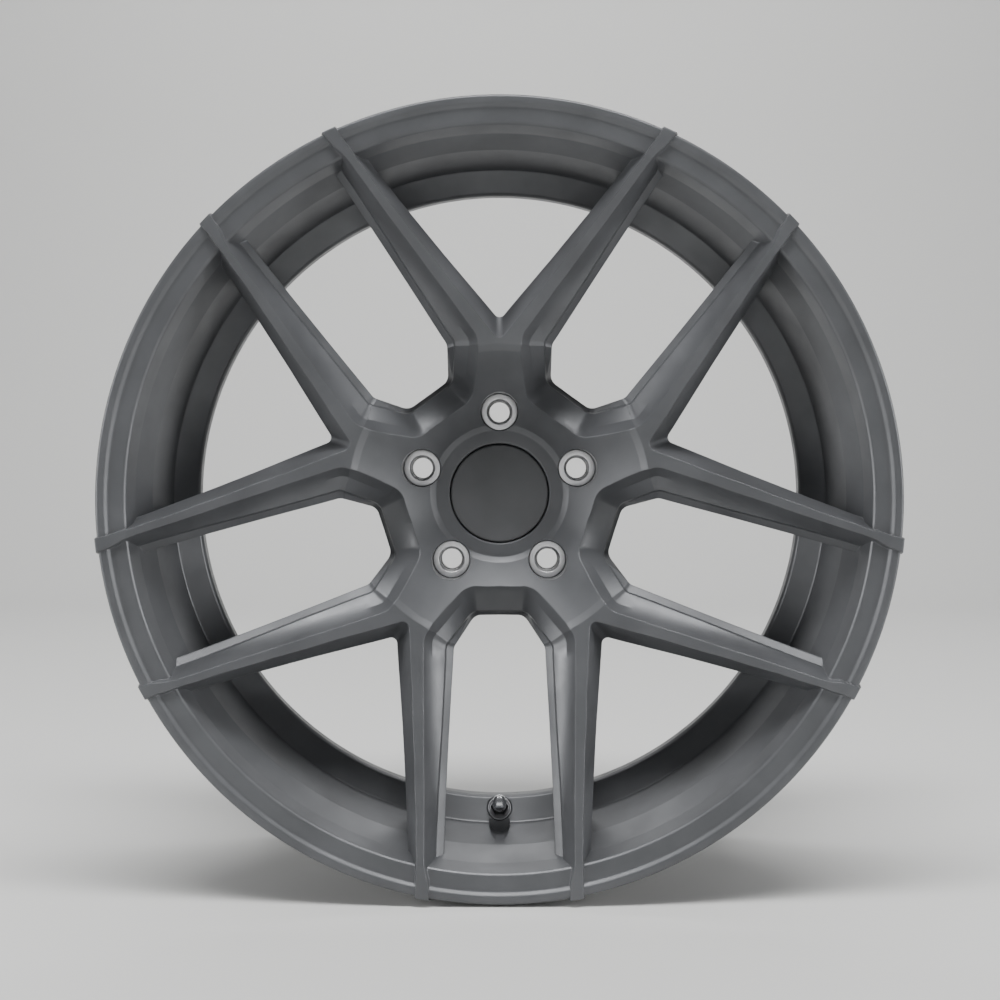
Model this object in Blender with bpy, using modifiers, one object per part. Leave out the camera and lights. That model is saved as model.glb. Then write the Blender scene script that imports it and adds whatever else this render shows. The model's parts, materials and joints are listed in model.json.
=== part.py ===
"""Forged racing wheel rim, 19 x 8.5J, with its valve, lug seats, centre cap and hub ring.

World frame: the wheel's axis is Y, its face looks towards -Y, +Z is up, and the origin is the
centre of the wheel. Sizes below are in millimetres; a depth is measured backwards from the
front plane of the outer flange.
"""
import math

import bmesh
import bpy
from mathutils import Matrix, Vector

MM = 0.001
CLEARANCE = 0.3

# The wheel as a whole
MID_DEPTH = 119.6
SPOKE_PAIRS = 5
FIRST_AXIS_DEG = 90.0
HALF_PITCH_DEG = 180.0 / SPOKE_PAIRS
TURN_STEPS = 52

# Hub
LUG_CIRCLE_R = 56.0
LUG_HOLE_R = 7.0
SEAT_POCKET_R = 12.9
SEAT_POCKET_DEPTH = 85.3
HUB_FLOOR_DEPTH = 78.0
HUB_FACE_DEPTH = 95.0
CAP_POCKET_R = 33.9
CAP_LEDGE_DEPTH = 82.2
CAP_HOLE_R = 31.2
BORE_R = 38.05
BORE_FLOOR_DEPTH = 84.6
HUB_FACE_R = 76.0

# Front of the spokes and the hub, from the cap pocket to the tips: (radius, depth)
SPOKE_FRONT = [
    (CAP_POCKET_R, HUB_FLOOR_DEPTH),
    (43.5, HUB_FLOOR_DEPTH),
    (47.5, 75.6),
    (95.0, 26.4),
    (99.5, 22.9),
    (108.0, 21.3),
    (150.0, 16.0),
    (190.0, 9.5),
    (223.0, 3.0),
    (241.0, -0.6),
    (256.0, -1.2),
    (261.6, -1.2),
    (262.3, -0.5),
]

# Back of the spokes and the hub, from the tips to the bore
SPOKE_BACK = [
    (262.3, 5.5),
    (241.5, 14.0),
    (236.5, 34.0),
    (228.0, 61.0),
    (205.0, 52.0),
    (170.0, 50.0),
    (130.0, 58.0),
    (100.0, 76.0),
    (80.0, 92.0),
    (HUB_FACE_R, HUB_FACE_DEPTH),
    (BORE_R, HUB_FACE_DEPTH),
    (BORE_R, BORE_FLOOR_DEPTH),
    (CAP_HOLE_R, BORE_FLOOR_DEPTH),
    (CAP_HOLE_R, CAP_LEDGE_DEPTH),
    (CAP_POCKET_R, CAP_LEDGE_DEPTH),
]

# Tyre side of the rim, front to back: flange, bead seat, hump, well, barrel, hump, bead seat, flange
RIM_OUTSIDE = [
    (259.8, 0.0),
    (261.0, 1.2),
    (261.0, 8.6),
    (250.5, 12.2),
    (244.3, 15.2),
    (243.2, 33.5),
    (244.6, 37.5),
    (242.0, 42.0),
    (236.0, 45.0),
    (231.5, 70.0),
    (213.0, 80.5),
    (210.6, 84.0),
    (211.3, 90.0),
    (218.5, 119.0),
    (237.5, 143.0),
    (239.2, 190.0),
    (244.6, 200.5),
    (243.2, 205.0),
    (244.3, 225.1),
    (250.5, 228.1),
    (261.0, 231.7),
    (261.0, 240.4),
]

# Brake side of the rim, back to front: barrel, throat, valve ledge, stepped wall, lip face
RIM_INSIDE = [
    (253.5, 240.4),
    (239.6, 222.0),
    (234.6, 200.0),
    (233.8, 144.0),
    (213.0, 116.0),
    (205.8, 88.0),
    (205.7, 78.0),
    (207.1, 75.4),
    (222.4, 67.9),
    (230.2, 34.6),
    (238.0, 16.6),
    (241.6, 4.0),
    (243.0, 2.6),
    (253.0, 2.2),
    (255.6, 0.0),
]

# Stations along a spoke, measured along the axis of the wide window beside it
STATIONS = [108.0, 150.0, 190.0, 222.0, 240.0, 256.0, 290.0]

# Wide window: each level is its inner end, two rounded corners and its half width at the stations
WIDE_LEVELS = {
    "ridge": {
        "corners": [((23.0, 62.4), 15.0), ((49.7, 92.3), 13.0)],
        "widths": [49.6, 49.1, 48.5, 48.3, 47.6, 45.4, 45.0],
    },
    "wall_foot": {
        "corners": [((20.6, 68.2), 11.0), ((44.2, 94.6), 10.0)],
        "widths": [44.2, 44.3, 44.2, 44.0, 43.8, 43.4, 43.2],
    },
    "shelf_edge": {
        "corners": [((18.6, 79.5), 9.0), ((36.0, 99.7), 8.0)],
        "widths": [36.0, 37.9, 40.2, 41.6, 42.0, 42.0, 42.0],
    },
    "shelf_under": {
        "corners": [((18.2, 80.3), 9.0), ((35.2, 100.1), 8.0)],
        "widths": [35.2, 37.1, 39.4, 40.8, 41.2, 41.2, 41.2],
    },
    "opening": {
        "corners": [((16.8, 83.0), 8.0), ((30.4, 101.6), 8.0)],
        "widths": [30.6, 32.9, 34.8, 35.9, 36.4, 36.9, 37.8],
    },
    "back": {
        "corners": [((17.4, 82.2), 8.0), ((31.8, 101.0), 8.0)],
        "widths": [32.8, 35.3, 37.5, 38.8, 39.5, 40.0, 41.0],
    },
}

# Narrow window: the distance of each level from the wide window's axis at the stations
NARROW_LEVELS = {
    "ridge": [58.1, 56.2, 54.5, 53.6, 53.4, 54.0, 54.2],
    "wall_foot": [64.4, 61.4, 59.0, 57.2, 56.2, 55.7, 55.5],
    "opening": [67.2, 63.9, 61.3, 59.6, 58.8, 58.2, 57.2],
    "back": [64.6, 61.3, 58.7, 57.0, 56.2, 55.6, 54.6],
}
NARROW_APEX_R = {"ridge": 4.5, "wall_foot": 3.5, "opening": 4.0, "back": 5.0}

# Heights under the ridge at a radius: (radius, ridge wall, fall of the shelf)
RELIEF = [
    (62.0, 4.5, 3.0),
    (104.0, 9.0, 4.5),
    (190.0, 9.0, 4.5),
    (290.0, 9.0, 4.5),
]
UNDERCUT_HEIGHT = 3.0
STRIP_HEIGHT = 4.0
NARROW_WALL_HEIGHT = 13.0
CUTTER_FRONT_DEPTH = -30.0
CUTTER_BACK_DEPTH = 112.0
CORNER_STEPS = 2

# Valve: its centre on the ledge and the lean of its axis towards the hub
VALVE_R = 213.6
VALVE_DEPTH = 72.6
VALVE_LEAN_DEG = 24.2
VALVE_AXIS_DEG = 270.0
VALVE_HOLE_R = 5.75
SPOT_FACE_R = 8.5
SPOT_FACE_FLOOR = -1.0
LEDGE_BACK = -5.4
NOTCH_R = 6.75
NOTCH_CENTRE_R = 222.3
NOTCH_DEPTHS = (33.0, 69.0)


def clear_scene():
    """Empties the scene's objects so that the file holds only the wheel."""
    for old in list(bpy.data.objects):
        bpy.data.objects.remove(old, do_unlink=True)


def make_collection(name):
    """A new collection under the scene's own."""
    collection = bpy.data.collections.new(name)
    bpy.context.scene.collection.children.link(collection)
    return collection


def make_material(name, colour, roughness, metallic):
    """A Principled material in one colour."""
    material = bpy.data.materials.new(name)
    material.use_nodes = True
    shader = material.node_tree.nodes["Principled BSDF"]
    shader.inputs["Base Color"].default_value = (*colour, 1.0)
    shader.inputs["Roughness"].default_value = roughness
    shader.inputs["Metallic"].default_value = metallic
    return material


def make_object(name, mesh, collection, parent, material=None):
    """An object for a mesh, under a parent, with its material."""
    made = bpy.data.objects.new(name, mesh)
    collection.objects.link(made)
    made.parent = parent
    if material:
        mesh.materials.append(material)
    return made


def hide_cutter(cutter):
    """Marks an object as a cutter, which isn't part of the wheel."""
    cutter.hide_render = True
    cutter.display_type = "WIRE"


def turned(name, profile, steps, collection, parent, material=None):
    """A turned solid from a profile of (radius, height), its outer side running downwards."""
    mesh = bpy.data.meshes.new(name)
    points = [(radius * MM, 0.0, height * MM) for radius, height in profile]
    closed = min(radius for radius, _ in profile) > 0.0
    last = len(points) if closed else len(points) - 1
    edges = [(i, (i + 1) % len(points)) for i in range(last)]
    mesh.from_pydata(points, edges, [])
    made = make_object(name, mesh, collection, parent, material)
    screw = made.modifiers.new("Turn", "SCREW")
    screw.axis = "Z"
    screw.steps = steps
    screw.render_steps = steps
    screw.use_merge_vertices = True
    screw.merge_threshold = 0.00001
    return made


def bake(turned_object):
    """Replaces an object's mesh by its evaluated one, shaded smooth between sharp edges."""
    bpy.context.view_layer.update()
    graph = bpy.context.evaluated_depsgraph_get()
    mesh = bpy.data.meshes.new_from_object(turned_object.evaluated_get(graph))
    turned_object.modifiers.clear()
    turned_object.data = mesh
    shade(mesh)


def shade(mesh):
    """Smooth shading with sharp edges where faces meet at more than 30 degrees."""
    mesh.shade_smooth()
    mesh.set_sharp_from_angle(angle=math.radians(30.0))


def boolean(target, cutter, operation):
    """Adds an exact Boolean modifier."""
    step = target.modifiers.new(operation.title(), "BOOLEAN")
    step.operation = operation
    step.solver = "EXACT"
    step.object = cutter
    return step


def height(depth):
    """The height above the wheel's middle plane of a depth behind the front plane."""
    return MID_DEPTH - depth


def interpolate(table, position, column=1):
    """Straight-line interpolation in a table of rows that start with their position."""
    for low, high in zip(table, table[1:]):
        if position <= high[0]:
            share = (position - low[0]) / (high[0] - low[0])
            return low[column] + max(share, 0.0) * (high[column] - low[column])
    return table[-1][column]


def rounded_corner(before, corner, after, radius, steps):
    """The points of an arc that rounds a corner of an outline."""
    corner = Vector(corner)
    to_before = (Vector(before) - corner).normalized()
    to_after = (Vector(after) - corner).normalized()
    half = to_before.angle(to_after) / 2
    centre = corner + (to_before + to_after).normalized() * radius / math.sin(half)
    start = corner + to_before * radius / math.tan(half) - centre
    end = corner + to_after * radius / math.tan(half) - centre
    sweep = start.angle_signed(end)
    return [
        tuple(centre + Matrix.Rotation(-sweep * i / steps, 2) @ start)
        for i in range(steps + 1)
    ]


def wide_half(level):
    """Half an outline of the wide window, from the middle of its inner end to its outer end."""
    data = WIDE_LEVELS[level]
    (first, first_radius), (second, second_radius) = data["corners"]
    side = list(zip(data["widths"], STATIONS))
    points = [(0.0, first[1])]
    points += rounded_corner(points[0], first, second, first_radius, CORNER_STEPS)
    points += rounded_corner(first, second, side[0], second_radius, CORNER_STEPS)
    return points + side + [(0.0, STATIONS[-1])]


def narrow_half(level):
    """Half an outline of the narrow window, in the frame of its own axis."""
    turn = math.radians(HALF_PITCH_DEG)
    side = []
    for across, along in zip(NARROW_LEVELS[level], STATIONS):
        outward = along * math.sin(turn) - across * math.cos(turn)
        side.append((outward, along * math.cos(turn) + across * math.sin(turn)))
    slope = (side[1][1] - side[0][1]) / (side[1][0] - side[0][0])
    apex = (0.0, side[0][1] - side[0][0] * slope)
    mirrored = (-side[0][0], side[0][1])
    steps = 2 * CORNER_STEPS
    arc = rounded_corner(mirrored, apex, side[0], NARROW_APEX_R[level], steps)
    points = arc[CORNER_STEPS:] + side
    points[0] = (0.0, points[0][1])
    return points + [(0.0, side[-1][1])]


def mirrored_outline(half):
    """A closed outline from one half that starts and ends on the mirror line."""
    return half + [(-across, along) for across, along in reversed(half[1:-1])]


def loft(name, levels, axis_deg, collection, parent):
    """A closed solid through levels of (outline, depths), standing on one axis of the wheel."""
    turn = math.radians(axis_deg)
    shape = bmesh.new()
    rings = []
    for outline, depths in levels:
        ring = []
        for (across, along), depth in zip(outline, depths):
            x = along * math.cos(turn) - across * math.sin(turn)
            y = along * math.sin(turn) + across * math.cos(turn)
            ring.append(shape.verts.new((x * MM, y * MM, height(depth) * MM)))
        rings.append(ring)
    for upper, lower in zip(rings, rings[1:]):
        for i in range(len(upper)):
            j = (i + 1) % len(upper)
            shape.faces.new((upper[i], upper[j], lower[j], lower[i]))
    shape.faces.new(rings[0])
    shape.faces.new(list(reversed(rings[-1])))
    bmesh.ops.triangulate(shape, faces=shape.faces)
    bmesh.ops.recalc_face_normals(shape, faces=shape.faces)
    mesh = bpy.data.meshes.new(name)
    shape.to_mesh(mesh)
    shape.free()
    return make_object(name, mesh, collection, parent)


def ridge_depths(outline):
    """The spoke front's depth at each point of an outline."""
    return [interpolate(SPOKE_FRONT, math.hypot(*point)) for point in outline]


def relief_values(outline, column):
    """A column of the relief table at each point of an outline."""
    return [interpolate(RELIEF, math.hypot(*point), column) for point in outline]


def flared(ridge, foot):
    """The outline where the wall from the foot to the ridge would be as far above the ridge."""
    return [(2 * a[0] - b[0], 2 * a[1] - b[1]) for a, b in zip(ridge, foot)]


def add_up(*columns):
    """Adds lists of depths point by point."""
    return [sum(values) for values in zip(*columns)]


def level_at(depth, outline):
    """The same depth at every point of an outline."""
    return [depth] * len(outline)


def wide_cutter(axis_deg, collection, parent):
    """One wide window: the wall under the ridge, the shelf, its undercut and the opening."""
    outlines = [mirrored_outline(wide_half(level)) for level in WIDE_LEVELS]
    ridge = outlines[0]
    top = ridge_depths(ridge)
    wall = add_up(top, relief_values(ridge, 1))
    shelf = add_up(wall, relief_values(ridge, 2))
    under = [depth + UNDERCUT_HEIGHT for depth in shelf]
    strip = [depth + STRIP_HEIGHT for depth in under]
    above = flared(ridge, outlines[1])
    depths = [
        [2 * high - low for high, low in zip(top, wall)],
        wall,
        shelf,
        under,
        strip,
        level_at(CUTTER_BACK_DEPTH, ridge),
    ]
    levels = [(above, level_at(CUTTER_FRONT_DEPTH, ridge))]
    levels += list(zip([above] + outlines[1:], depths))
    return loft("wide_window", levels, axis_deg, collection, parent)


def narrow_cutter(axis_deg, collection, parent):
    """One narrow window: the wall beside the ridges and the opening below it."""
    outlines = [mirrored_outline(narrow_half(level)) for level in NARROW_LEVELS]
    ridge = outlines[0]
    top = ridge_depths(ridge)
    share = [value / RELIEF[1][1] for value in relief_values(ridge, 1)]
    wall = [depth + NARROW_WALL_HEIGHT * part for depth, part in zip(top, share)]
    strip = [depth + STRIP_HEIGHT for depth in wall]
    above = flared(ridge, outlines[1])
    depths = [
        [2 * high - low for high, low in zip(top, wall)],
        wall,
        strip,
        level_at(CUTTER_BACK_DEPTH, ridge),
    ]
    levels = [(above, level_at(CUTTER_FRONT_DEPTH, ridge))]
    levels += list(zip([above] + outlines[1:], depths))
    return loft("narrow_window", levels, axis_deg, collection, parent)


def cylinder(name, radius, low, high, segments, collection, parent):
    """A cylinder along its own Z from one height to another."""
    shape = bmesh.new()
    bmesh.ops.create_cone(
        shape,
        cap_ends=True,
        segments=segments,
        radius1=radius * MM,
        radius2=radius * MM,
        depth=(high - low) * MM,
        matrix=Matrix.Translation((0.0, 0.0, (low + high) / 2 * MM)),
    )
    mesh = bpy.data.meshes.new(name)
    shape.to_mesh(mesh)
    shape.free()
    return make_object(name, mesh, collection, parent)


def place_on_circle(made, radius, angle_deg):
    """Moves an object to a circle about the wheel's axis."""
    turn = math.radians(angle_deg)
    made.location = (radius * math.cos(turn) * MM, radius * math.sin(turn) * MM, 0.0)


def wheel_body(parts, cutters, wheel, valve, material):
    """The forging: hub, spokes and rim in one piece."""
    front = [(radius, height(depth)) for radius, depth in SPOKE_FRONT]
    back = [(radius, height(depth)) for radius, depth in SPOKE_BACK]
    body = turned("wheel_body", front + back, TURN_STEPS, parts, wheel, material)

    rim_profile = [(radius, height(depth)) for radius, depth in RIM_OUTSIDE + RIM_INSIDE]
    rim = turned("rim_blank", rim_profile, TURN_STEPS, cutters, wheel)

    windows = []
    for i in range(SPOKE_PAIRS):
        narrow_axis = FIRST_AXIS_DEG + i * 2 * HALF_PITCH_DEG
        windows.append(narrow_cutter(narrow_axis, cutters, wheel))
        windows.append(wide_cutter(narrow_axis + HALF_PITCH_DEG, cutters, wheel))
    for window in windows:
        boolean(body, window, "DIFFERENCE")
    boolean(body, rim, "UNION")

    drills = []
    for i in range(SPOKE_PAIRS):
        angle = FIRST_AXIS_DEG + i * 2 * HALF_PITCH_DEG
        front_height = height(CUTTER_FRONT_DEPTH)
        hole = cylinder("lug_drill", LUG_HOLE_R, 0.0, front_height, 16, cutters, wheel)
        pocket = cylinder(
            "seat_drill",
            SEAT_POCKET_R,
            height(SEAT_POCKET_DEPTH),
            front_height,
            20,
            cutters,
            wheel,
        )
        for drill in (hole, pocket):
            place_on_circle(drill, LUG_CIRCLE_R, angle)
            drills.append(drill)
    drills.append(cylinder("valve_drill", VALVE_HOLE_R, -25.0, 25.0, 16, cutters, valve))
    drills.append(cylinder("spot_face", SPOT_FACE_R, SPOT_FACE_FLOOR, 20.0, 20, cutters, valve))
    drills.append(
        cylinder("back_spot_face", SPOT_FACE_R, -20.0, LEDGE_BACK, 20, cutters, valve)
    )
    notch = cylinder(
        "tool_notch",
        NOTCH_R,
        height(NOTCH_DEPTHS[1]),
        height(NOTCH_DEPTHS[0]),
        14,
        cutters,
        wheel,
    )
    place_on_circle(notch, NOTCH_CENTRE_R, VALVE_AXIS_DEG)
    drills.append(notch)
    for drill in drills:
        boolean(body, drill, "DIFFERENCE")
    for hidden in windows + drills + [rim]:
        hide_cutter(hidden)
    return body


def seat_inserts(parts, wheel, material):
    """Five steel lug seats with a 60 degree cone, one in each pocket."""
    bottom = SEAT_POCKET_DEPTH - CLEARANCE
    top = HUB_FLOOR_DEPTH + 0.2
    outer = SEAT_POCKET_R - CLEARANCE
    bore = 7.5
    mouth = 8.9
    cone_depth = (mouth - bore) / math.tan(math.radians(30.0))
    profile = [
        (mouth, height(top)),
        (outer - 0.3, height(top)),
        (outer, height(top + 0.3)),
        (outer, height(bottom)),
        (bore, height(bottom)),
        (bore, height(top + cone_depth)),
    ]
    for i in range(SPOKE_PAIRS):
        angle = FIRST_AXIS_DEG + i * 2 * HALF_PITCH_DEG
        name = f"lug_seat_{i + 1}"
        insert = turned(name, profile, 20, parts, wheel, material)
        place_on_circle(insert, LUG_CIRCLE_R, angle)
        bake(insert)


def centre_cap(parts, wheel, paint, steel):
    """The snap-in cap: a shallow dished face with a skirt, and the spring ring inside it."""
    outer = 33.4
    face = HUB_FLOOR_DEPTH - 0.6
    seat = CAP_LEDGE_DEPTH - CLEARANCE
    skirt = CAP_HOLE_R - 0.4
    inside = skirt - 1.8
    profile = [
        (0.0, height(face - 0.5)),
        (outer * 0.6, height(face - 0.4)),
        (outer - 1.0, height(face)),
        (outer - 0.2, height(face + 0.4)),
        (outer, height(face + 1.2)),
        (outer, height(seat)),
        (skirt, height(seat)),
        (skirt, height(91.0)),
        (inside, height(91.0)),
        (inside, height(89.0)),
        (inside + 0.8, height(88.4)),
        (inside + 0.8, height(86.2)),
        (inside, height(85.6)),
        (inside, height(face + 3.0)),
        (0.0, height(face + 2.6)),
    ]
    cap = turned("centre_cap", profile, 30, parts, wheel, paint)
    bake(cap)
    ring = turned(
        "cap_spring_ring",
        [
            (inside + 0.45, height(86.6)),
            (inside + 0.45, height(88.0)),
            (inside - 1.0, height(88.0)),
            (inside - 1.0, height(86.6)),
        ],
        30,
        parts,
        wheel,
        steel,
    )
    bake(ring)


def hub_ring(parts, wheel, material):
    """The hub-centric ring in the back of the bore."""
    outer = BORE_R - CLEARANCE
    inner = 33.3
    front = BORE_FLOOR_DEPTH + CLEARANCE
    back = HUB_FACE_DEPTH - 0.2
    profile = [
        (outer, height(front)),
        (outer, height(back)),
        (inner + 0.8, height(back)),
        (inner, height(back - 0.8)),
        (inner, height(front)),
    ]
    bake(turned("hub_ring", profile, 36, parts, wheel, material))


def valve_parts(parts, valve, paint, materials):
    """The clamp-in valve, its core and its cap, along the valve's own axis."""
    brass, chrome, rubber, steel, black = materials
    stem_r = 3.6
    chamber_r = 2.5
    throat_r = 1.6
    bore_r = 2.0
    tip = 18.6
    stem = [
        (stem_r - 0.3, tip),
        (stem_r, tip - 0.3),
        (stem_r, -8.3),
        (7.0, -8.3),
        (7.2, -8.5),
        (7.2, -10.6),
        (6.8, -11.0),
        (bore_r, -11.0),
        (bore_r, 8.0),
        (throat_r, 8.4),
        (throat_r, 9.6),
        (chamber_r, 10.6),
        (chamber_r, tip),
    ]
    profiles = {
        "valve_stem": (stem, 20, chrome),
        "valve_base_seal": (
            [(7.0, LEDGE_BACK - 0.3), (7.4, -8.0), (3.9, -8.0), (3.9, LEDGE_BACK - 0.3)],
            24,
            rubber,
        ),
        "valve_bush": (
            [(5.45, -1.3), (5.45, -5.3), (3.9, -5.3), (3.9, -1.3)],
            24,
            rubber,
        ),
        "valve_washer": (
            [(7.9, 0.5), (7.9, -0.7), (3.9, -0.7), (3.9, 0.1), (6.6, 0.1), (7.1, 0.7), (7.6, 0.7)],
            20,
            steel,
        ),
        "valve_nut": (
            [(5.6, 5.4), (6.0, 5.0), (6.0, 0.4), (4.5, 0.4), (4.5, 5.8), (5.0, 5.8)],
            6,
            black,
        ),
        "core_body": (
            [
                (2.2, 18.0),
                (2.2, 13.4),
                (1.5, 12.9),
                (1.25, 8.0),
                (1.25, 5.6),
                (0.75, 5.6),
                (0.75, 17.2),
                (1.1, 18.0),
            ],
            16,
            brass,
        ),
        "core_seal": (
            [(2.2, 12.3), (1.85, 10.7), (1.65, 10.2), (1.65, 12.3)],
            16,
            rubber,
        ),
        "core_pin": (
            [
                (0.0, 18.3),
                (0.45, 18.2),
                (0.45, 5.4),
                (1.2, 5.3),
                (1.2, 3.9),
                (0.45, 3.7),
                (0.45, -4.3),
                (0.0, -4.4),
            ],
            14,
            brass,
        ),
        "spring_cup": ([(1.7, -2.5), (1.7, -3.4), (0.7, -3.4), (0.7, -2.5)], 16, brass),
        "valve_cap": (
            [
                (0.0, 22.6),
                (2.4, 22.3),
                (3.9, 21.2),
                (4.5, 19.6),
                (4.7, 12.0),
                (4.7, 8.4),
                (4.3, 8.0),
                (3.9, 8.0),
                (3.9, 20.3),
                (0.0, 20.3),
            ],
            20,
            chrome,
        ),
        "cap_gasket": (
            [(3.6, 20.0), (3.6, 18.9), (2.5, 18.9), (2.5, 20.0)],
            24,
            rubber,
        ),
    }
    for name, (profile, steps, material) in profiles.items():
        bake(turned(name, profile, steps, parts, valve, material))
    core_spring(parts, valve, steel)


def core_spring(parts, valve, material):
    """The coil spring round the core's pin, between the core body and the pin's foot."""
    turns = 4
    per_turn = 9
    coil_r = 1.0
    wire_r = 0.16
    low = -2.2
    high = 3.4
    curve = bpy.data.curves.new("core_spring", "CURVE")
    curve.dimensions = "3D"
    curve.bevel_depth = wire_r * MM
    curve.bevel_resolution = 1
    curve.use_fill_caps = True
    wire = curve.splines.new("POLY")
    count = turns * per_turn + 1
    wire.points.add(count - 1)
    for i in range(count):
        turn = 2 * math.pi * i / per_turn
        rise = low + (high - low) * i / (count - 1)
        point = (coil_r * math.cos(turn) * MM, coil_r * math.sin(turn) * MM, rise * MM, 1.0)
        wire.points[i].co = point
    spring = bpy.data.objects.new("core_spring", curve)
    parts.objects.link(spring)
    spring.parent = valve
    curve.materials.append(material)


def make_frames(collection):
    """Two empties: the wheel's axis, and the valve's axis on the ledge."""
    wheel = bpy.data.objects.new("wheel_axis", None)
    wheel.rotation_euler = (math.radians(90.0), 0.0, 0.0)
    valve = bpy.data.objects.new("valve_axis", None)
    valve.parent = wheel
    turn = math.radians(VALVE_AXIS_DEG)
    lean = math.radians(VALVE_LEAN_DEG)
    valve.location = (
        VALVE_R * math.cos(turn) * MM,
        VALVE_R * math.sin(turn) * MM,
        height(VALVE_DEPTH) * MM,
    )
    inward = Vector((-math.cos(turn), -math.sin(turn), 0.0))
    axis = Vector((0.0, 0.0, 1.0)) * math.cos(lean) + inward * math.sin(lean)
    valve.rotation_euler = axis.to_track_quat("Z", "Y").to_euler()
    for frame in (wheel, valve):
        collection.objects.link(frame)
    return wheel, valve


def main():
    clear_scene()
    parts = make_collection("forged_wheel_rim")
    cutters = make_collection("cutters")
    wheel, valve = make_frames(parts)
    paint = make_material("gunmetal_paint", (0.075, 0.078, 0.083), 0.42, 0.55)
    cap_paint = make_material("cap_paint", (0.075, 0.078, 0.083), 0.48, 0.4)
    bare_steel = make_material("bare_steel", (0.72, 0.72, 0.73), 0.28, 1.0)
    spring_steel = make_material("spring_steel", (0.5, 0.5, 0.52), 0.35, 1.0)
    ring_alloy = make_material("ring_alloy", (0.6, 0.61, 0.63), 0.4, 1.0)
    brass = make_material("brass", (0.66, 0.5, 0.24), 0.35, 1.0)
    chrome = make_material("chrome", (0.8, 0.81, 0.83), 0.1, 1.0)
    rubber = make_material("rubber", (0.02, 0.02, 0.021), 0.7, 0.0)
    black = make_material("black_anodised", (0.02, 0.021, 0.023), 0.35, 0.6)
    wheel_body(parts, cutters, wheel, valve, paint)
    seat_inserts(parts, wheel, bare_steel)
    centre_cap(parts, wheel, cap_paint, spring_steel)
    hub_ring(parts, wheel, ring_alloy)
    valve_parts(parts, valve, cap_paint, (brass, chrome, rubber, spring_steel, black))
    bpy.context.view_layer.update()


main()
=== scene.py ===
"""The look of the forged racing wheel rim: smooth surfaces over the CAD frame, paint, light, camera."""

import json
import math

import bmesh
import bpy
from mathutils import Matrix, Vector

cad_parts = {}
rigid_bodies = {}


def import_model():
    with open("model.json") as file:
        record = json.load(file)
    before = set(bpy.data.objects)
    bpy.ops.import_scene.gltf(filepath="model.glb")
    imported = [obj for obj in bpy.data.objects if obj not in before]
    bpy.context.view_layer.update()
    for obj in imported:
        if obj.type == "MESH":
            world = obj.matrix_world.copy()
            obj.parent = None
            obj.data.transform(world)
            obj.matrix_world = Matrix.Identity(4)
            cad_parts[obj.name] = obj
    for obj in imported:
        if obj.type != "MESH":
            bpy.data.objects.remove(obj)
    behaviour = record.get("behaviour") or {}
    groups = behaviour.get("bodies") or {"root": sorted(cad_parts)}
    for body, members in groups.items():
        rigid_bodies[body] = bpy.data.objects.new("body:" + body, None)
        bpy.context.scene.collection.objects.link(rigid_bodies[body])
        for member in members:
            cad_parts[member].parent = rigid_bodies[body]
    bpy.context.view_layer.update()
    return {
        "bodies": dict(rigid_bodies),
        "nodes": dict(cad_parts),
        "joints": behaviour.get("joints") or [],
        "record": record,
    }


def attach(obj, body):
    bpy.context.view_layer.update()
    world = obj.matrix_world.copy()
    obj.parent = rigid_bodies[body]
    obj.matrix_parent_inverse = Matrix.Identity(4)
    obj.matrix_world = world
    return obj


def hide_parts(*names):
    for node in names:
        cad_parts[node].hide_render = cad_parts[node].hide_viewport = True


MM = 0.001
CLEARANCE = 0.3

# The wheel as a whole
MID_DEPTH = 119.6
SPOKE_PAIRS = 5
FIRST_AXIS_DEG = 90.0
HALF_PITCH_DEG = 180.0 / SPOKE_PAIRS
TURN_STEPS = 300
SMOOTHER = 4

# Rounded edges and shading
HEXAGON = 6
SMALL_EDGE_R = 0.35
LARGE_EDGE_R = 2.0
EDGE_STEPS = 4
EDGE_SHARE = 0.4
NEARLY_STRAIGHT_DEG = 88.0
TURNED_CREASE_DEG = 30.0
SHOWN_CREASE_DEG = 24.0

# Hub
LUG_CIRCLE_R = 56.0
LUG_HOLE_R = 7.0
SEAT_POCKET_R = 12.9
SEAT_POCKET_DEPTH = 85.3
HUB_FLOOR_DEPTH = 78.0
HUB_FACE_DEPTH = 95.0
CAP_POCKET_R = 33.9
CAP_LEDGE_DEPTH = 82.2
CAP_HOLE_R = 31.2
BORE_R = 38.05
BORE_FLOOR_DEPTH = 84.6
HUB_FACE_R = 76.0

# Front of the spokes and the hub, from the cap pocket to the tips: (radius, depth)
SPOKE_FRONT = [
    (CAP_POCKET_R, HUB_FLOOR_DEPTH),
    (43.5, HUB_FLOOR_DEPTH),
    (47.5, 75.6),
    (95.0, 26.4),
    (99.5, 22.9),
    (108.0, 21.3),
    (150.0, 16.0),
    (190.0, 9.5),
    (223.0, 3.0),
    (241.0, -0.6),
    (256.0, -1.2),
    (261.6, -1.2),
    (262.3, -0.5),
]

# Back of the spokes and the hub, from the tips to the bore
SPOKE_BACK = [
    (262.3, 5.5),
    (241.5, 14.0),
    (236.5, 34.0),
    (228.0, 61.0),
    (205.0, 52.0),
    (170.0, 50.0),
    (130.0, 58.0),
    (100.0, 76.0),
    (80.0, 92.0),
    (HUB_FACE_R, HUB_FACE_DEPTH),
    (BORE_R, HUB_FACE_DEPTH),
    (BORE_R, BORE_FLOOR_DEPTH),
    (CAP_HOLE_R, BORE_FLOOR_DEPTH),
    (CAP_HOLE_R, CAP_LEDGE_DEPTH),
    (CAP_POCKET_R, CAP_LEDGE_DEPTH),
]

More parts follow.
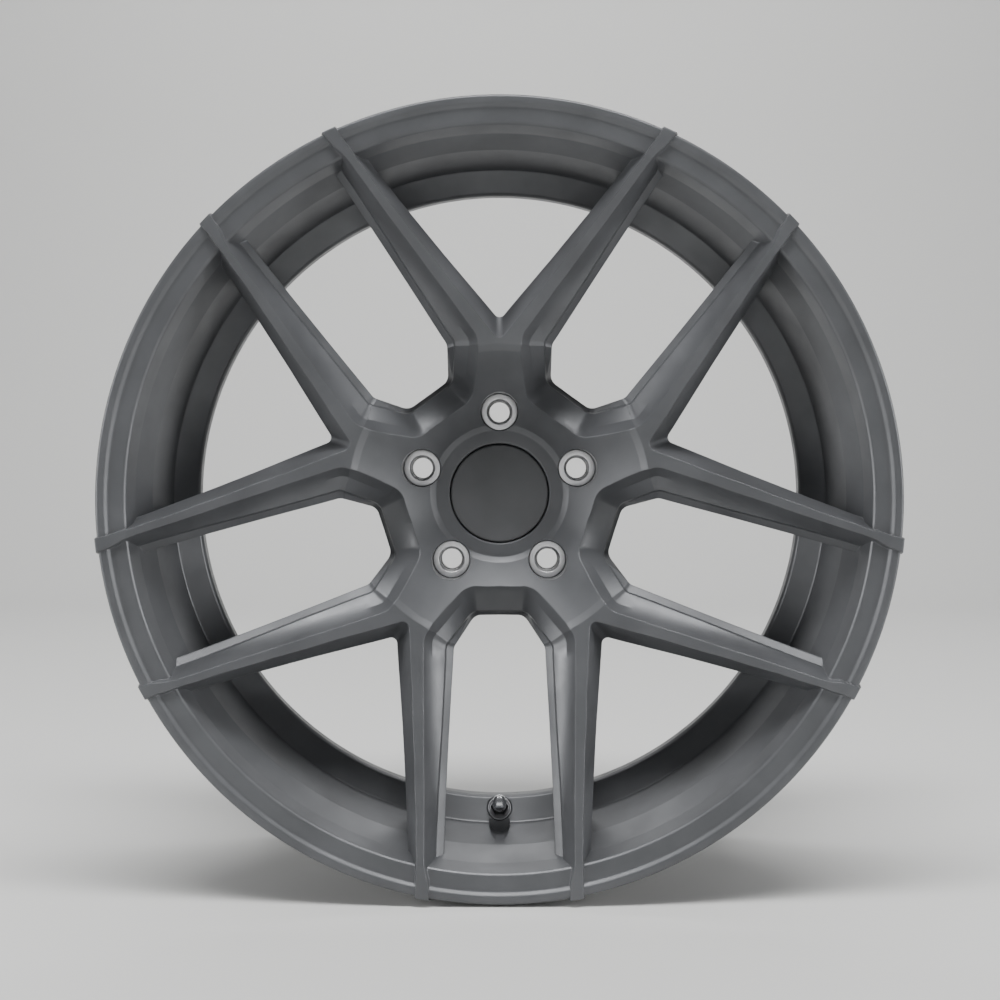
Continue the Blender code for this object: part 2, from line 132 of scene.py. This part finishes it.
# Tyre side of the rim, front to back: flange, bead seat, hump, well, barrel, hump, bead seat, flange
RIM_OUTSIDE = [
    (259.8, 0.0),
    (261.0, 1.2),
    (261.0, 8.6),
    (250.5, 12.2),
    (244.3, 15.2),
    (243.2, 33.5),
    (244.6, 37.5),
    (242.0, 42.0),
    (236.0, 45.0),
    (231.5, 70.0),
    (213.0, 80.5),
    (210.6, 84.0),
    (211.3, 90.0),
    (218.5, 119.0),
    (237.5, 143.0),
    (239.2, 190.0),
    (244.6, 200.5),
    (243.2, 205.0),
    (244.3, 225.1),
    (250.5, 228.1),
    (261.0, 231.7),
    (261.0, 240.4),
]

# Brake side of the rim, back to front: barrel, throat, valve ledge, stepped wall, lip face
RIM_INSIDE = [
    (253.5, 240.4),
    (239.6, 222.0),
    (234.6, 200.0),
    (233.8, 144.0),
    (213.0, 116.0),
    (205.8, 88.0),
    (205.7, 78.0),
    (207.1, 75.4),
    (222.4, 67.9),
    (230.2, 34.6),
    (238.0, 16.6),
    (241.6, 4.0),
    (243.0, 2.6),
    (253.0, 2.2),
    (255.6, 0.0),
]

# Stations along a spoke, measured along the axis of the wide window beside it
STATIONS = [108.0, 150.0, 190.0, 222.0, 240.0, 256.0, 290.0]

# Wide window: each level is its inner end, two rounded corners and its half width at the stations
WIDE_LEVELS = {
    "ridge": {
        "corners": [((23.0, 62.4), 15.0), ((49.7, 92.3), 13.0)],
        "widths": [49.6, 49.1, 48.5, 48.3, 47.6, 45.4, 45.0],
    },
    "wall_foot": {
        "corners": [((20.6, 68.2), 11.0), ((44.2, 94.6), 10.0)],
        "widths": [44.2, 44.3, 44.2, 44.0, 43.8, 43.4, 43.2],
    },
    "shelf_edge": {
        "corners": [((18.6, 79.5), 9.0), ((36.0, 99.7), 8.0)],
        "widths": [36.0, 37.9, 40.2, 41.6, 42.0, 42.0, 42.0],
    },
    "shelf_under": {
        "corners": [((18.2, 80.3), 9.0), ((35.2, 100.1), 8.0)],
        "widths": [35.2, 37.1, 39.4, 40.8, 41.2, 41.2, 41.2],
    },
    "opening": {
        "corners": [((16.8, 83.0), 8.0), ((30.4, 101.6), 8.0)],
        "widths": [30.6, 32.9, 34.8, 35.9, 36.4, 36.9, 37.8],
    },
    "back": {
        "corners": [((17.4, 82.2), 8.0), ((31.8, 101.0), 8.0)],
        "widths": [32.8, 35.3, 37.5, 38.8, 39.5, 40.0, 41.0],
    },
}

# Narrow window: the distance of each level from the wide window's axis at the stations
NARROW_LEVELS = {
    "ridge": [58.1, 56.2, 54.5, 53.6, 53.4, 54.0, 54.2],
    "wall_foot": [64.4, 61.4, 59.0, 57.2, 56.2, 55.7, 55.5],
    "opening": [67.2, 63.9, 61.3, 59.6, 58.8, 58.2, 57.2],
    "back": [64.6, 61.3, 58.7, 57.0, 56.2, 55.6, 54.6],
}
NARROW_APEX_R = {"ridge": 4.5, "wall_foot": 3.5, "opening": 4.0, "back": 5.0}

# Heights under the ridge at a radius: (radius, ridge wall, fall of the shelf)
RELIEF = [
    (62.0, 4.5, 3.0),
    (104.0, 9.0, 4.5),
    (190.0, 9.0, 4.5),
    (290.0, 9.0, 4.5),
]
UNDERCUT_HEIGHT = 3.0
STRIP_HEIGHT = 4.0
NARROW_WALL_HEIGHT = 13.0
CUTTER_FRONT_DEPTH = -30.0
CUTTER_BACK_DEPTH = 112.0
CORNER_STEPS = 7

# Valve: its centre on the ledge and the lean of its axis towards the hub
VALVE_R = 213.6
VALVE_DEPTH = 72.6
VALVE_LEAN_DEG = 24.2
VALVE_AXIS_DEG = 270.0
VALVE_HOLE_R = 5.75
SPOT_FACE_R = 8.5
SPOT_FACE_FLOOR = -1.0
LEDGE_BACK = -5.4
NOTCH_R = 6.75
NOTCH_CENTRE_R = 222.3
NOTCH_DEPTHS = (33.0, 69.0)


def make_collection(name):
    """A new collection under the scene's own."""
    collection = bpy.data.collections.new(name)
    bpy.context.scene.collection.children.link(collection)
    return collection


def make_object(name, mesh, collection, parent, material=None):
    """An object for a mesh, under a parent, with its material."""
    made = bpy.data.objects.new(name + "_look", mesh)
    collection.objects.link(made)
    made.parent = parent
    if material:
        mesh.materials.append(material)
    return made


def hide_cutter(cutter):
    """Marks an object as a cutter, which isn't part of the wheel."""
    cutter.hide_render = True
    cutter.display_type = "WIRE"


def turned(name, profile, steps, collection, parent, material=None):
    """A turned solid from a profile of (radius, height), its outer side running downwards."""
    edge_r = SMALL_EDGE_R
    if steps == TURN_STEPS:
        edge_r = LARGE_EDGE_R
    elif steps > HEXAGON:
        steps = steps * SMOOTHER
    mesh = bpy.data.meshes.new(name)
    closed = min(radius for radius, _ in profile) > 0.0
    profile = eased(profile, closed, edge_r)
    points = [(radius * MM, 0.0, height * MM) for radius, height in profile]
    last = len(points) if closed else len(points) - 1
    edges = [(i, (i + 1) % len(points)) for i in range(last)]
    mesh.from_pydata(points, edges, [])
    made = make_object(name, mesh, collection, parent, material)
    screw = made.modifiers.new("Turn", "SCREW")
    screw.axis = "Z"
    screw.steps = steps
    screw.render_steps = steps
    screw.use_smooth_shade = True
    screw.use_merge_vertices = True
    screw.merge_threshold = 0.00001
    return made


def bake(turned_object):
    """Replaces an object's mesh by its evaluated one, shaded smooth between sharp edges."""
    bpy.context.view_layer.update()
    graph = bpy.context.evaluated_depsgraph_get()
    mesh = bpy.data.meshes.new_from_object(turned_object.evaluated_get(graph))
    turned_object.modifiers.clear()
    turned_object.data = mesh
    shade(mesh)


def shade(mesh):
    """Smooth shading with sharp edges where faces meet at a crease."""
    mesh.shade_smooth()
    mesh.set_sharp_from_angle(angle=math.radians(TURNED_CREASE_DEG))


def boolean(target, cutter, operation):
    """Adds an exact Boolean modifier."""
    step = target.modifiers.new(operation.title(), "BOOLEAN")
    step.operation = operation
    step.solver = "EXACT"
    step.object = cutter


def height(depth):
    """The height above the wheel's middle plane of a depth behind the front plane."""
    return MID_DEPTH - depth


def interpolate(table, position, column=1):
    """Straight-line interpolation in a table of rows that start with their position."""
    for low, high in zip(table, table[1:]):
        if position <= high[0]:
            share = (position - low[0]) / (high[0] - low[0])
            return low[column] + max(share, 0.0) * (high[column] - low[column])
    return table[-1][column]


def rounded_corner(before, corner, after, radius, steps):
    """The points of an arc that rounds a corner of an outline."""
    corner = Vector(corner)
    to_before = (Vector(before) - corner).normalized()
    to_after = (Vector(after) - corner).normalized()
    half = to_before.angle(to_after) / 2
    centre = corner + (to_before + to_after).normalized() * radius / math.sin(half)
    start = corner + to_before * radius / math.tan(half) - centre
    end = corner + to_after * radius / math.tan(half) - centre
    sweep = start.angle_signed(end)
    return [
        tuple(centre + Matrix.Rotation(-sweep * i / steps, 2) @ start)
        for i in range(steps + 1)
    ]


def eased(profile, closed, radius):
    """The profile with its corners rounded, each as far as its neighbours leave room."""
    corners = list(profile)
    count = len(corners)
    points = [] if closed else [corners[0]]
    for i in range(0 if closed else 1, count if closed else count - 1):
        before = Vector(corners[i - 1])
        corner = Vector(corners[i])
        after = Vector(corners[(i + 1) % count])
        room = EDGE_SHARE * min((before - corner).length, (after - corner).length)
        half = (before - corner).angle(after - corner) / 2
        if half > math.radians(NEARLY_STRAIGHT_DEG):
            points.append(tuple(corner))
            continue
        fitting = min(radius, room * math.tan(half))
        points += rounded_corner(before, corner, after, fitting, EDGE_STEPS)
    return points if closed else points + [corners[-1]]


def wide_half(level):
    """Half an outline of the wide window, from the middle of its inner end to its outer end."""
    data = WIDE_LEVELS[level]
    (first, first_radius), (second, second_radius) = data["corners"]
    side = list(zip(data["widths"], STATIONS))
    points = [(0.0, first[1])]
    points += rounded_corner(points[0], first, second, first_radius, CORNER_STEPS)
    points += rounded_corner(first, second, side[0], second_radius, CORNER_STEPS)
    return points + side + [(0.0, STATIONS[-1])]


def narrow_half(level):
    """Half an outline of the narrow window, in the frame of its own axis."""
    turn = math.radians(HALF_PITCH_DEG)
    side = []
    for across, along in zip(NARROW_LEVELS[level], STATIONS):
        outward = along * math.sin(turn) - across * math.cos(turn)
        side.append((outward, along * math.cos(turn) + across * math.sin(turn)))
    slope = (side[1][1] - side[0][1]) / (side[1][0] - side[0][0])
    apex = (0.0, side[0][1] - side[0][0] * slope)
    mirrored = (-side[0][0], side[0][1])
    steps = 2 * CORNER_STEPS
    arc = rounded_corner(mirrored, apex, side[0], NARROW_APEX_R[level], steps)
    points = arc[CORNER_STEPS:] + side
    points[0] = (0.0, points[0][1])
    return points + [(0.0, side[-1][1])]


def mirrored_outline(half):
    """A closed outline from one half that starts and ends on the mirror line."""
    return half + [(-across, along) for across, along in reversed(half[1:-1])]


def loft(name, levels, axis_deg, collection, parent):
    """A closed solid through levels of (outline, depths), standing on one axis of the wheel."""
    turn = math.radians(axis_deg)
    shape = bmesh.new()
    rings = []
    for outline, depths in levels:
        ring = []
        for (across, along), depth in zip(outline, depths):
            x = along * math.cos(turn) - across * math.sin(turn)
            y = along * math.sin(turn) + across * math.cos(turn)
            ring.append(shape.verts.new((x * MM, y * MM, height(depth) * MM)))
        rings.append(ring)
    for upper, lower in zip(rings, rings[1:]):
        for i in range(len(upper)):
            j = (i + 1) % len(upper)
            shape.faces.new((upper[i], upper[j], lower[j], lower[i]))
    shape.faces.new(rings[0])
    shape.faces.new(list(reversed(rings[-1])))
    bmesh.ops.triangulate(shape, faces=shape.faces)
    bmesh.ops.recalc_face_normals(shape, faces=shape.faces)
    mesh = bpy.data.meshes.new(name)
    shape.to_mesh(mesh)
    shape.free()
    return make_object(name, mesh, collection, parent)


def ridge_depths(outline):
    """The spoke front's depth at each point of an outline."""
    return [interpolate(SPOKE_FRONT, math.hypot(*point)) for point in outline]


def relief_values(outline, column):
    """A column of the relief table at each point of an outline."""
    return [interpolate(RELIEF, math.hypot(*point), column) for point in outline]


def flared(ridge, foot):
    """The outline where the wall from the foot to the ridge would be as far above the ridge."""
    return [(2 * a[0] - b[0], 2 * a[1] - b[1]) for a, b in zip(ridge, foot)]


def add_up(*columns):
    """Adds lists of depths point by point."""
    return [sum(values) for values in zip(*columns)]


def level_at(depth, outline):
    """The same depth at every point of an outline."""
    return [depth] * len(outline)


def wide_cutter(axis_deg, collection, parent):
    """One wide window: the wall under the ridge, the shelf, its undercut and the opening."""
    outlines = [mirrored_outline(wide_half(level)) for level in WIDE_LEVELS]
    ridge = outlines[0]
    top = ridge_depths(ridge)
    wall = add_up(top, relief_values(ridge, 1))
    shelf = add_up(wall, relief_values(ridge, 2))
    under = [depth + UNDERCUT_HEIGHT for depth in shelf]
    strip = [depth + STRIP_HEIGHT for depth in under]
    above = flared(ridge, outlines[1])
    depths = [
        [2 * high - low for high, low in zip(top, wall)],
        wall,
        shelf,
        under,
        strip,
        level_at(CUTTER_BACK_DEPTH, ridge),
    ]
    levels = [(above, level_at(CUTTER_FRONT_DEPTH, ridge))]
    levels += list(zip([above] + outlines[1:], depths))
    return loft("wide_window", levels, axis_deg, collection, parent)


def narrow_cutter(axis_deg, collection, parent):
    """One narrow window: the wall beside the ridges and the opening below it."""
    outlines = [mirrored_outline(narrow_half(level)) for level in NARROW_LEVELS]
    ridge = outlines[0]
    top = ridge_depths(ridge)
    share = [value / RELIEF[1][1] for value in relief_values(ridge, 1)]
    wall = [depth + NARROW_WALL_HEIGHT * part for depth, part in zip(top, share)]
    strip = [depth + STRIP_HEIGHT for depth in wall]
    above = flared(ridge, outlines[1])
    depths = [
        [2 * high - low for high, low in zip(top, wall)],
        wall,
        strip,
        level_at(CUTTER_BACK_DEPTH, ridge),
    ]
    levels = [(above, level_at(CUTTER_FRONT_DEPTH, ridge))]
    levels += list(zip([above] + outlines[1:], depths))
    return loft("narrow_window", levels, axis_deg, collection, parent)


def cylinder(name, radius, low, high, segments, collection, parent):
    """A cylinder along its own Z from one height to another."""
    shape = bmesh.new()
    bmesh.ops.create_cone(
        shape,
        cap_ends=True,
        segments=segments * SMOOTHER,
        radius1=radius * MM,
        radius2=radius * MM,
        depth=(high - low) * MM,
        matrix=Matrix.Translation((0.0, 0.0, (low + high) / 2 * MM)),
    )
    mesh = bpy.data.meshes.new(name)
    shape.to_mesh(mesh)
    shape.free()
    return make_object(name, mesh, collection, parent)


def place_on_circle(made, radius, angle_deg):
    """Moves an object to a circle about the wheel's axis."""
    turn = math.radians(angle_deg)
    made.location = (radius * math.cos(turn) * MM, radius * math.sin(turn) * MM, 0.0)


def wheel_body(parts, cutters, wheel, valve, material):
    """The forging: hub, spokes and rim in one piece."""
    front = [(radius, height(depth)) for radius, depth in SPOKE_FRONT]
    back = [(radius, height(depth)) for radius, depth in SPOKE_BACK]
    body = turned("wheel_body", front + back, TURN_STEPS, parts, wheel, material)

    rim_profile = [(radius, height(depth)) for radius, depth in RIM_OUTSIDE + RIM_INSIDE]
    rim = turned("rim_blank", rim_profile, TURN_STEPS, cutters, wheel)

    windows = []
    for i in range(SPOKE_PAIRS):
        narrow_axis = FIRST_AXIS_DEG + i * 2 * HALF_PITCH_DEG
        windows.append(narrow_cutter(narrow_axis, cutters, wheel))
        windows.append(wide_cutter(narrow_axis + HALF_PITCH_DEG, cutters, wheel))
    for window in windows:
        boolean(body, window, "DIFFERENCE")
    boolean(body, rim, "UNION")

    drills = []
    for i in range(SPOKE_PAIRS):
        angle = FIRST_AXIS_DEG + i * 2 * HALF_PITCH_DEG
        front_height = height(CUTTER_FRONT_DEPTH)
        hole = cylinder("lug_drill", LUG_HOLE_R, 0.0, front_height, 16, cutters, wheel)
        pocket = cylinder(
            "seat_drill",
            SEAT_POCKET_R,
            height(SEAT_POCKET_DEPTH),
            front_height,
            20,
            cutters,
            wheel,
        )
        for drill in (hole, pocket):
            place_on_circle(drill, LUG_CIRCLE_R, angle)
            drills.append(drill)
    drills.append(cylinder("valve_drill", VALVE_HOLE_R, -25.0, 25.0, 16, cutters, valve))
    drills.append(cylinder("spot_face", SPOT_FACE_R, SPOT_FACE_FLOOR, 20.0, 20, cutters, valve))
    drills.append(
        cylinder("back_spot_face", SPOT_FACE_R, -20.0, LEDGE_BACK, 20, cutters, valve)
    )
    notch = cylinder(
        "tool_notch",
        NOTCH_R,
        height(NOTCH_DEPTHS[1]),
        height(NOTCH_DEPTHS[0]),
        14,
        cutters,
        wheel,
    )
    place_on_circle(notch, NOTCH_CENTRE_R, VALVE_AXIS_DEG)
    drills.append(notch)
    for drill in drills:
        boolean(body, drill, "DIFFERENCE")
    for hidden in windows + drills + [rim]:
        hide_cutter(hidden)


def seat_inserts(parts, wheel, material):
    """Five steel lug seats with a 60 degree cone, one in each pocket."""
    bottom = SEAT_POCKET_DEPTH - CLEARANCE
    top = HUB_FLOOR_DEPTH + 0.2
    outer = SEAT_POCKET_R - CLEARANCE
    bore = 7.5
    mouth = 8.9
    cone_depth = (mouth - bore) / math.tan(math.radians(30.0))
    profile = [
        (mouth, height(top)),
        (outer - 0.3, height(top)),
        (outer, height(top + 0.3)),
        (outer, height(bottom)),
        (bore, height(bottom)),
        (bore, height(top + cone_depth)),
    ]
    for i in range(SPOKE_PAIRS):
        angle = FIRST_AXIS_DEG + i * 2 * HALF_PITCH_DEG
        name = f"lug_seat_{i + 1}"
        insert = turned(name, profile, 20, parts, wheel, material)
        place_on_circle(insert, LUG_CIRCLE_R, angle)
        bake(insert)


def centre_cap(parts, wheel, paint, steel):
    """The snap-in cap: a shallow dished face with a skirt, and the spring ring inside it."""
    outer = 33.4
    face = HUB_FLOOR_DEPTH - 0.6
    seat = CAP_LEDGE_DEPTH - CLEARANCE
    skirt = CAP_HOLE_R - 0.4
    inside = skirt - 1.8
    profile = [
        (0.0, height(face - 0.5)),
        (outer * 0.6, height(face - 0.4)),
        (outer - 1.0, height(face)),
        (outer - 0.2, height(face + 0.4)),
        (outer, height(face + 1.2)),
        (outer, height(seat)),
        (skirt, height(seat)),
        (skirt, height(91.0)),
        (inside, height(91.0)),
        (inside, height(89.0)),
        (inside + 0.8, height(88.4)),
        (inside + 0.8, height(86.2)),
        (inside, height(85.6)),
        (inside, height(face + 3.0)),
        (0.0, height(face + 2.6)),
    ]
    cap = turned("centre_cap", profile, 30, parts, wheel, paint)
    bake(cap)
    ring = turned(
        "cap_spring_ring",
        [
            (inside + 0.45, height(86.6)),
            (inside + 0.45, height(88.0)),
            (inside - 1.0, height(88.0)),
            (inside - 1.0, height(86.6)),
        ],
        30,
        parts,
        wheel,
        steel,
    )
    bake(ring)


def hub_ring(parts, wheel, material):
    """The hub-centric ring in the back of the bore."""
    outer = BORE_R - CLEARANCE
    inner = 33.3
    front = BORE_FLOOR_DEPTH + CLEARANCE
    back = HUB_FACE_DEPTH - 0.2
    profile = [
        (outer, height(front)),
        (outer, height(back)),
        (inner + 0.8, height(back)),
        (inner, height(back - 0.8)),
        (inner, height(front)),
    ]
    bake(turned("hub_ring", profile, 36, parts, wheel, material))


def valve_parts(parts, valve, materials):
    """The clamp-in valve, its core and its cap, along the valve's own axis."""
    brass, chrome, rubber, steel, black = materials
    stem_r = 3.6
    chamber_r = 2.5
    throat_r = 1.6
    bore_r = 2.0
    tip = 18.6
    stem = [
        (stem_r - 0.3, tip),
        (stem_r, tip - 0.3),
        (stem_r, -8.3),
        (7.0, -8.3),
        (7.2, -8.5),
        (7.2, -10.6),
        (6.8, -11.0),
        (bore_r, -11.0),
        (bore_r, 8.0),
        (throat_r, 8.4),
        (throat_r, 9.6),
        (chamber_r, 10.6),
        (chamber_r, tip),
    ]
    profiles = {
        "valve_stem": (stem, 20, chrome),
        "valve_base_seal": (
            [(7.0, LEDGE_BACK - 0.3), (7.4, -8.0), (3.9, -8.0), (3.9, LEDGE_BACK - 0.3)],
            24,
            rubber,
        ),
        "valve_bush": (
            [(5.45, -1.3), (5.45, -5.3), (3.9, -5.3), (3.9, -1.3)],
            24,
            rubber,
        ),
        "valve_washer": (
            [(7.9, 0.5), (7.9, -0.7), (3.9, -0.7), (3.9, 0.1), (6.6, 0.1), (7.1, 0.7), (7.6, 0.7)],
            20,
            steel,
        ),
        "valve_nut": (
            [(5.6, 5.4), (6.0, 5.0), (6.0, 0.4), (4.5, 0.4), (4.5, 5.8), (5.0, 5.8)],
            6,
            black,
        ),
        "core_body": (
            [
                (2.2, 18.0),
                (2.2, 13.4),
                (1.5, 12.9),
                (1.25, 8.0),
                (1.25, 5.6),
                (0.75, 5.6),
                (0.75, 17.2),
                (1.1, 18.0),
            ],
            16,
            brass,
        ),
        "core_seal": (
            [(2.2, 12.3), (1.85, 10.7), (1.65, 10.2), (1.65, 12.3)],
            16,
            rubber,
        ),
        "core_pin": (
            [
                (0.0, 18.3),
                (0.45, 18.2),
                (0.45, 5.4),
                (1.2, 5.3),
                (1.2, 3.9),
                (0.45, 3.7),
                (0.45, -4.3),
                (0.0, -4.4),
            ],
            14,
            brass,
        ),
        "spring_cup": ([(1.7, -2.5), (1.7, -3.4), (0.7, -3.4), (0.7, -2.5)], 16, brass),
        "valve_cap": (
            [
                (0.0, 22.6),
                (2.4, 22.3),
                (3.9, 21.2),
                (4.5, 19.6),
                (4.7, 12.0),
                (4.7, 8.4),
                (4.3, 8.0),
                (3.9, 8.0),
                (3.9, 20.3),
                (0.0, 20.3),
            ],
            20,
            chrome,
        ),
        "cap_gasket": (
            [(3.6, 20.0), (3.6, 18.9), (2.5, 18.9), (2.5, 20.0)],
            24,
            rubber,
        ),
    }
    for name, (profile, steps, material) in profiles.items():
        bake(turned(name, profile, steps, parts, valve, material))


def make_frames(collection):
    """Two empties: the wheel's axis, and the valve's axis on the ledge."""
    wheel = bpy.data.objects.new("wheel_axis", None)
    wheel.rotation_euler = (math.radians(90.0), 0.0, 0.0)
    valve = bpy.data.objects.new("valve_axis", None)
    valve.parent = wheel
    turn = math.radians(VALVE_AXIS_DEG)
    lean = math.radians(VALVE_LEAN_DEG)
    valve.location = (
        VALVE_R * math.cos(turn) * MM,
        VALVE_R * math.sin(turn) * MM,
        height(VALVE_DEPTH) * MM,
    )
    inward = Vector((-math.cos(turn), -math.sin(turn), 0.0))
    axis = Vector((0.0, 0.0, 1.0)) * math.cos(lean) + inward * math.sin(lean)
    valve.rotation_euler = axis.to_track_quat("Z", "Y").to_euler()
    for frame in (wheel, valve):
        collection.objects.link(frame)
    return wheel, valve



def noise(tree, scale, detail, low, high):
    """A noise pattern on the surface, mapped to a range."""
    place = tree.nodes.new("ShaderNodeTexCoord")
    pattern = tree.nodes.new("ShaderNodeTexNoise")
    pattern.inputs["Scale"].default_value = scale
    pattern.inputs["Detail"].default_value = detail
    tree.links.new(place.outputs["Object"], pattern.inputs["Vector"])
    spread = tree.nodes.new("ShaderNodeMapRange")
    spread.inputs["From Min"].default_value = 0.3
    spread.inputs["From Max"].default_value = 0.7
    spread.inputs["To Min"].default_value = low
    spread.inputs["To Max"].default_value = high
    tree.links.new(pattern.outputs["Fac"], spread.inputs["Value"])
    return spread.outputs["Result"]


def finish_material(name, colour, rough, metallic, grain, edge, coat=0.0):
    """A finish with uneven tone, uneven gloss, a fine grain and softened edges."""
    low_rough, high_rough = rough
    grain_scale, grain_height = grain
    material = bpy.data.materials.new(name)
    material.use_nodes = True
    tree = material.node_tree
    shader = tree.nodes["Principled BSDF"]
    shader.inputs["Metallic"].default_value = metallic
    shader.inputs["Coat Weight"].default_value = coat
    shader.inputs["Coat Roughness"].default_value = 0.35
    tone = tree.nodes.new("ShaderNodeMix")
    tone.data_type = "RGBA"
    tone.inputs["A"].default_value = (*[part * 0.86 for part in colour], 1.0)
    tone.inputs["B"].default_value = (*[part * 1.12 for part in colour], 1.0)
    tree.links.new(noise(tree, 28.0, 6.0, 0.0, 1.0), tone.inputs["Factor"])
    tree.links.new(tone.outputs["Result"], shader.inputs["Base Color"])
    tree.links.new(noise(tree, 60.0, 8.0, low_rough, high_rough), shader.inputs["Roughness"])
    soft = tree.nodes.new("ShaderNodeBevel")
    soft.samples = 4
    soft.inputs["Radius"].default_value = edge * MM
    bump = tree.nodes.new("ShaderNodeBump")
    bump.inputs["Strength"].default_value = 0.35
    bump.inputs["Distance"].default_value = grain_height * MM
    tree.links.new(noise(tree, grain_scale, 3.0, 0.0, 1.0), bump.inputs["Height"])
    tree.links.new(soft.outputs["Normal"], bump.inputs["Normal"])
    tree.links.new(bump.outputs["Normal"], shader.inputs["Normal"])
    return material


def settle(piece, body):
    """Puts a finished piece into the row frame, in place of its CAD node, on its CAD body."""
    bpy.context.view_layer.update()
    graph = bpy.context.evaluated_depsgraph_get()
    mesh = bpy.data.meshes.new_from_object(piece.evaluated_get(graph))
    mesh.transform(piece.matrix_world)
    node = piece.name.removesuffix("_look")
    settled = bpy.data.objects.new(node + "_shown", mesh)
    bpy.context.scene.collection.objects.link(settled)
    mesh.shade_smooth()
    mesh.set_sharp_from_angle(angle=math.radians(SHOWN_CREASE_DEG))
    bpy.data.objects.remove(piece, do_unlink=True)
    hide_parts(node)
    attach(settled, body)


def backdrop():
    """A pale floor that curves up into a wall well behind the wheel."""
    floor_z = -0.2625
    wall_y = 3.4
    wall_top = 5.0
    front_y = -4.0
    half_width = 6.0
    bend_r = 1.2
    bend_steps = 24
    outline = [(front_y, floor_z)]
    for i in range(bend_steps + 1):
        turn = math.radians(90.0 * i / bend_steps)
        outline.append(
            (wall_y - bend_r + bend_r * math.sin(turn), floor_z + bend_r * (1 - math.cos(turn)))
        )
    outline.append((wall_y, wall_top))
    vertices = [(x, y, z) for y, z in outline for x in (-half_width, half_width)]
    faces = [(2 * i, 2 * i + 1, 2 * i + 3, 2 * i + 2) for i in range(len(outline) - 1)]
    mesh = bpy.data.meshes.new("backdrop")
    mesh.from_pydata(vertices, [], faces)
    mesh.shade_smooth()
    made = bpy.data.objects.new("backdrop", mesh)
    bpy.context.scene.collection.objects.link(made)
    pale = bpy.data.materials.new("backdrop")
    pale.use_nodes = True
    shader = pale.node_tree.nodes["Principled BSDF"]
    shader.inputs["Base Color"].default_value = (0.62, 0.62, 0.61, 1.0)
    shader.inputs["Roughness"].default_value = 0.8
    mesh.materials.append(pale)


def area_light(name, place, target, size, power):
    """A soft rectangular light."""
    lamp = bpy.data.lights.new(name, "AREA")
    lamp.shape = "RECTANGLE"
    lamp.size, lamp.size_y = size
    lamp.energy = power
    made = bpy.data.objects.new(name, lamp)
    made.location = place
    made.rotation_euler = (Vector(target) - Vector(place)).to_track_quat("-Z", "Y").to_euler()
    bpy.context.scene.collection.objects.link(made)


def studio():
    """Soft light from above the face, weaker light from both sides, and a dim pale surround."""
    area_light("above", (0.0, -0.95, 2.2), (0.0, 0.0, 0.0), (2.0, 0.7), 92.0)
    area_light("left", (-2.3, -0.8, 0.2), (0.0, 0.0, 0.0), (0.7, 1.4), 48.0)
    area_light("right", (2.3, -0.8, 0.2), (0.0, 0.0, 0.0), (0.7, 1.4), 48.0)
    area_light("front", (0.0, -3.2, 0.7), (0.0, 0.0, 0.0), (2.0, 1.0), 5.0)
    area_light("behind", (0.0, 1.6, 2.4), (0.0, 2.6, 0.0), (3.0, 1.0), 60.0)
    world = bpy.data.worlds.new("studio")
    world.use_nodes = True
    sky = world.node_tree.nodes["Background"]
    sky.inputs["Color"].default_value = (0.72, 0.74, 0.77, 1.0)
    sky.inputs["Strength"].default_value = 0.12
    bpy.context.scene.world = world


def camera():
    """The photograph's view: straight on, from a little above the axis, tilted slightly up."""
    lens = bpy.data.cameras.new("camera")
    lens.sensor_width = 36.0
    lens.lens = 63.36
    lens.shift_x = 0.0005
    lens.shift_y = -0.1182
    made = bpy.data.objects.new("camera", lens)
    made.location = (0.0, -1.2556, 0.0216)
    made.rotation_euler = (math.radians(92.6), 0.0, 0.0)
    bpy.context.scene.collection.objects.link(made)
    bpy.context.scene.camera = made


def main():
    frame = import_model()
    parts = make_collection("looks")
    cutters = make_collection("look_cutters")
    wheel, valve = make_frames(parts)
    paint = finish_material(
        "gunmetal", (0.09, 0.093, 0.099), (0.34, 0.46), 0.4, (1400.0, 0.05), 1.1, 0.1
    )
    cap_paint = finish_material(
        "cap_gunmetal", (0.078, 0.08, 0.084), (0.45, 0.56), 0.2, (1500.0, 0.05), 0.4
    )
    bare = finish_material(
        "machined", (0.8, 0.8, 0.81), (0.3, 0.45), 1.0, (2600.0, 0.03), 0.3
    )
    steel = finish_material("steel", (0.45, 0.45, 0.47), (0.3, 0.45), 1.0, (1800.0, 0.03), 0.2)
    alloy = finish_material("alloy", (0.6, 0.61, 0.63), (0.3, 0.42), 1.0, (1500.0, 0.03), 0.3)
    brass = finish_material("brass", (0.6, 0.44, 0.2), (0.28, 0.42), 1.0, (1800.0, 0.02), 0.1)
    nickel = finish_material(
        "nickel", (0.74, 0.75, 0.77), (0.1, 0.22), 1.0, (1500.0, 0.01), 0.2
    )
    rubber = finish_material(
        "black_rubber", (0.018, 0.018, 0.019), (0.6, 0.8), 0.0, (1200.0, 0.08), 0.2
    )
    black = finish_material(
        "anodised", (0.02, 0.021, 0.023), (0.3, 0.42), 0.5, (1600.0, 0.03), 0.2
    )
    wheel_body(parts, cutters, wheel, valve, paint)
    seat_inserts(parts, wheel, bare)
    centre_cap(parts, wheel, cap_paint, steel)
    hub_ring(parts, wheel, alloy)
    valve_parts(parts, valve, (brass, nickel, rubber, steel, black))
    body_of = {
        node: body
        for body, nodes in frame["record"]["behaviour"]["bodies"].items()
        for node in nodes
    }
    for piece in list(parts.objects):
        node = piece.name.removesuffix("_look")
        if node in body_of:
            settle(piece, body_of[node])
    for leftover in list(cutters.objects) + [valve, wheel]:
        bpy.data.objects.remove(leftover, do_unlink=True)
    spring = frame["nodes"]["core_spring"]
    spring.data.materials.clear()
    spring.data.materials.append(steel)
    backdrop()
    studio()
    camera()
    bpy.context.view_layer.update()


main()
